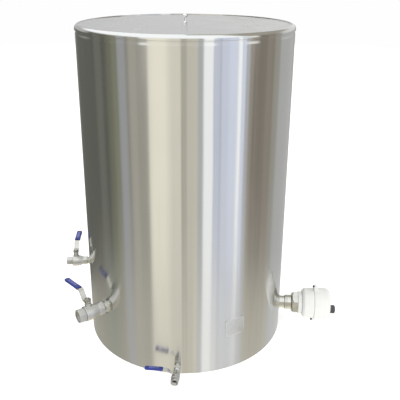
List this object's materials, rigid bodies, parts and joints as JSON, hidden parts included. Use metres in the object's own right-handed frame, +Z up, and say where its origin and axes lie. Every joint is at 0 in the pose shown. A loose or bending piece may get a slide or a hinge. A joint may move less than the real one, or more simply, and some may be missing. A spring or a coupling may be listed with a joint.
{
  "type": "wax sterilizer",
  "caption": "Round double-walled stainless drum with a lift-off lid, lever ball valves for filling, wax and draining, and a screw-in immersion heater.",
  "frame": {"origin": "on the floor at the centre of the drum, in the underside of the base plate", "axes": "+Z up along the drum's axis, -Y the front with the drain valve, +X the side of the heater"},
  "size_m": [0.8326, 0.661, 0.9532],
  "materials": {
    "drum_steel": "bright rolled stainless sheet",
    "vessel_steel": "satin stainless sheet",
    "cast_steel": "satin cast stainless",
    "turned_steel": "turned stainless",
    "chrome": "polished",
    "blue_vinyl": "dipped vinyl, semi-gloss",
    "white_plastic": "moulded, satin",
    "dark_plastic": "moulded, satin",
    "label_foil": "satin foil, blank",
    "rubber": "matt"
  },
  "bodies": {
    "root": {"outer_shell": "drum_steel", "base_plate": "vessel_steel", "top_ring": "drum_steel", "inner_wall": "vessel_steel", "inner_floor": "vessel_steel", "label_plate": "label_foil", "fill_valve_nipple": "turned_steel", "fill_valve_body": "cast_steel", "fill_valve_outlet": "cast_steel", "wax_valve_nipple": "turned_steel", "wax_valve_body": "cast_steel", "wax_valve_outlet": "cast_steel", "drain_valve_nipple": "turned_steel", "drain_valve_body": "cast_steel", "drain_valve_outlet": "cast_steel", "heater_stub": "turned_steel", "heater_socket": "turned_steel", "heater_hex": "turned_steel", "heater_collar": "white_plastic", "heater_rear_housing": "white_plastic", "heater_front_housing": "white_plastic", "heater_screw_top": "dark_plastic", "heater_screw_bottom": "dark_plastic", "gland_collar": "dark_plastic", "gland_nut": "dark_plastic", "gland_seal": "rubber"},
    "lid": {"lid_plate": "drum_steel", "lid_rim": "drum_steel", "lid_lip": "vessel_steel", "lid_knob": "chrome", "lid_knob_nut": "turned_steel"},
    "fill_lever": {"fill_valve_ball": "chrome", "fill_valve_stem": "turned_steel", "fill_valve_lever_nut": "turned_steel", "fill_valve_lever": "turned_steel", "fill_valve_grip": "blue_vinyl"},
    "wax_lever": {"wax_valve_ball": "chrome", "wax_valve_stem": "turned_steel", "wax_valve_lever_nut": "turned_steel", "wax_valve_lever": "turned_steel", "wax_valve_grip": "blue_vinyl"},
    "drain_lever": {"drain_valve_ball": "chrome", "drain_valve_stem": "turned_steel", "drain_valve_lever_nut": "turned_steel", "drain_valve_lever": "turned_steel", "drain_valve_grip": "blue_vinyl"}
  },
  "joints": [
    {"name": "lid_lift", "type": "slide", "parent": "root", "child": "lid", "axis": [0, 0, 1], "range_m": [0, 0.3]},
    {"name": "fill_turn", "type": "hinge", "parent": "root", "child": "fill_lever", "pos_m": [-0.3353, -0.04967, 0.223], "axis": [0.0008, -0.0174, 0.9998], "range_deg": [0, 90]},
    {"name": "wax_turn", "type": "hinge", "parent": "root", "child": "wax_lever", "pos_m": [-0.27411, -0.22379, 0.1515], "axis": [-0.0808, 0.1133, 0.9903], "range_deg": [0, 90]},
    {"name": "drain_turn", "type": "hinge", "parent": "root", "child": "drain_lever", "pos_m": [-0.0298, -0.33716, 0.0171], "axis": [0, 0, 1], "range_deg": [0, 90]}
  ]
}
